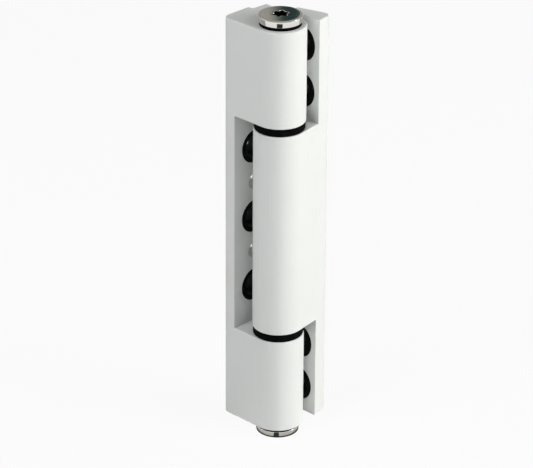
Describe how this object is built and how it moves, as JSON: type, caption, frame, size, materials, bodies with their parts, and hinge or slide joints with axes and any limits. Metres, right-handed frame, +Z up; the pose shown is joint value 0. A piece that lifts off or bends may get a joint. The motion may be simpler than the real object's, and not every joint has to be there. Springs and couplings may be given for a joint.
{
  "type": "angled hinge",
  "caption": "Three-knuckle door hinge with leaves at a right angle: frame leaf with recessed screw sleeves, turning door leaf, pin, bushes and capped ends",
  "frame": {"origin": "middle of the frame leaf's fixings, on the face that bears on the frame", "axes": "+Z up along the pin, +X from the frame's face to the pin, +Y back along the door leaf"},
  "size_m": [0.0273, 0.0271, 0.158],
  "materials": {
    "white_coating": "satin white powder coat on extruded aluminium",
    "polished_steel": "polished stainless steel",
    "pin_steel": "ground steel",
    "black_nylon": "matt black nylon",
    "insert_black": "smooth black moulded plastic"
  },
  "bodies": {
    "frame_leaf": {"frame_leaf": "white_coating", "hinge_pin": "pin_steel", "top_cap_screw": "polished_steel", "bottom_cap_screw": "polished_steel", "top_end_bush": "black_nylon", "bottom_end_bush": "black_nylon", "upper_inner_bush": "black_nylon", "lower_inner_bush": "black_nylon", "upper_thrust_washer": "black_nylon", "lower_thrust_washer": "black_nylon", "upper_frame_insert": "insert_black", "centre_frame_insert": "insert_black", "lower_frame_insert": "insert_black"},
    "door_leaf": {"door_leaf": "white_coating", "upper_middle_bush": "black_nylon", "lower_middle_bush": "black_nylon", "top_door_insert": "insert_black", "upper_door_insert": "insert_black", "lower_door_insert": "insert_black", "bottom_door_insert": "insert_black"}
  },
  "joints": [
    {"name": "door_swing", "type": "hinge", "parent": "frame_leaf", "child": "door_leaf", "pos_m": [0.0183, -0.0008, 0], "axis": [0, 0, -1], "range_deg": [0, 180]}
  ]
}
